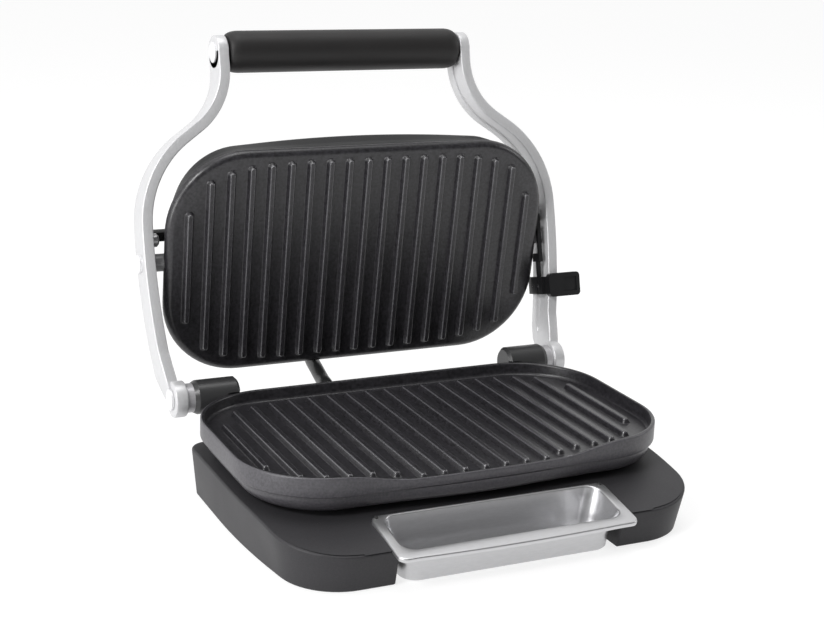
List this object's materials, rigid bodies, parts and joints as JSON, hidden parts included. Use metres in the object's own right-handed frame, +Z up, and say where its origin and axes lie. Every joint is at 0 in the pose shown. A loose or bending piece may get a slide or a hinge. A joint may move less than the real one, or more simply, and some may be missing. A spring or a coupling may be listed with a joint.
{
  "type": "electric indoor grill with lid",
  "caption": "Countertop contact grill: ribbed lower plate on a dark base, ribbed upper plate hung between two bent arms with a grip, drip tray in front.",
  "frame": {"origin": "middle of the underside, on the table, straight below the centre of the lower cooking plate", "axes": "+X to the right seen from the front, +Y to the back, +Z up"},
  "size_m": [0.3505, 0.3313, 0.3061],
  "materials": {
    "housing_dark": "fine satin, dark grey",
    "cover_sheet": "matt black painted sheet",
    "screw_steel": "bright zinc",
    "rubber_black": "matt black rubber",
    "pan_dark": "satin charcoal coating",
    "plate_nonstick": "charcoal non-stick coating with fine speckle on cast aluminium",
    "heater_steel": "oxidised steel tube",
    "thermostat_body": "bare pressed metal",
    "hinge_black": "black satin",
    "collar_grey": "grey satin",
    "pin_steel": "bright satin steel",
    "arm_silver": "light silver satin",
    "grip_black": "black satin grip",
    "head_black": "dark grey satin",
    "stop_steel": "dark satin steel",
    "slider_black": "glossy black",
    "tray_silver": "bright satin sheet",
    "stud_dark": "black",
    "lead_black": "matt black sleeve"
  },
  "bodies": {
    "base": {"base_housing": "housing_dark", "bottom_cover": "cover_sheet", "cover_screws": "screw_steel", "foot_pads": "rubber_black", "lower_pan": "pan_dark", "lower_plate": "plate_nonstick", "lower_element": "heater_steel", "lower_thermostat": "thermostat_body", "hinge_bracket_left": "hinge_black", "hinge_bracket_right": "hinge_black", "hinge_collar_left": "collar_grey", "hinge_collar_right": "collar_grey", "hinge_pin_left": "pin_steel", "hinge_pin_right": "pin_steel", "mains_gland": "rubber_black", "lead_gland_base": "rubber_black", "lid_lead": "lead_black"},
    "lid_arms": {"arm_left": "arm_silver", "arm_right": "arm_silver", "handle_grip": "grip_black", "handle_rod": "pin_steel", "handle_caps": "arm_silver", "pivot_pin_left": "pin_steel", "pivot_pin_right": "pin_steel", "stop_pins": "stop_steel"},
    "upper_head": {"upper_plate": "plate_nonstick", "upper_housing": "head_black", "upper_element": "heater_steel", "upper_thermostat": "thermostat_body", "lead_gland_lid": "rubber_black"},
    "lock_slider": {"lock_block": "slider_black", "lock_tab": "slider_black", "lock_bar": "slider_black", "lock_rivets": "pin_steel"},
    "tray": {"drip_tray": "tray_silver", "tray_studs": "stud_dark"}
  },
  "joints": [
    {"name": "lid_hinge", "type": "hinge", "parent": "base", "child": "lid_arms", "pos_m": [0, 0.095, 0.057], "axis": [1, 0, 0], "range_deg": [0, 106.7], "deforming": ["lid_lead"]},
    {"name": "head_tilt", "type": "hinge", "parent": "lid_arms", "child": "upper_head", "pos_m": [0, 0.13689, 0.14642], "axis": [1, 0, 0], "range_deg": [-24.16, 0]},
    {"name": "lock_slide", "type": "slide", "parent": "lid_arms", "child": "lock_slider", "axis": [0, 0.247, 0.969], "range_m": [0, 0.006]},
    {"name": "tray_slide", "type": "slide", "parent": "base", "child": "tray", "axis": [0, -1, 0], "range_m": [0, 0.11]}
  ],
  "couplings": [
    {"joint": "head_tilt", "follows": "lid_hinge", "ratio": -0.22549}
  ]
}
